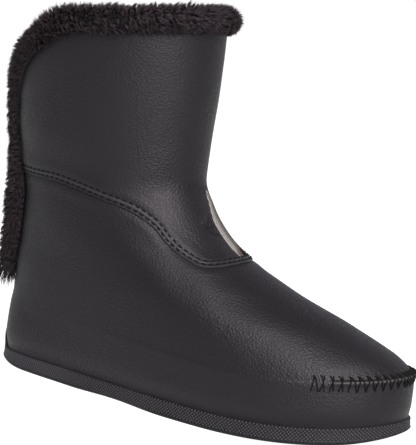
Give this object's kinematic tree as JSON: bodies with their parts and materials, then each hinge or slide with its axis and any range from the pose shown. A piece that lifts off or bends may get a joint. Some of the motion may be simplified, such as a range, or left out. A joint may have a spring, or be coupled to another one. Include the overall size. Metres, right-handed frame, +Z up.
{
  "type": "ski boot",
  "caption": "Slip-on winter boot for the right foot: leather upper with moccasin toe, elastic instep gore, fur-edged collar and back slit, rubber cup sole.",
  "frame": {"origin": "on the floor under the middle of the heel, on a flat land of the sole's underside", "axes": "+X towards the toe, +Y towards the inner side of the right foot, +Z up"},
  "size_m": [0.2834, 0.1124, 0.2382],
  "materials": {
    "sole_rubber": "matt moulded rubber with a fine dotted texture",
    "insole_felt": "short dark felt",
    "black_leather": "soft smooth leather with a fine grain and a low sheen",
    "elastic_gore": "woven grey elastic",
    "plush_fur": "dense dark imitation fur, pile about 9 mm"
  },
  "bodies": {
    "root": {"outsole": "sole_rubber", "insole": "insole_felt", "upper": "black_leather", "gore": "elastic_gore", "fur_trim": "plush_fur"}
  },
  "joints": []
}
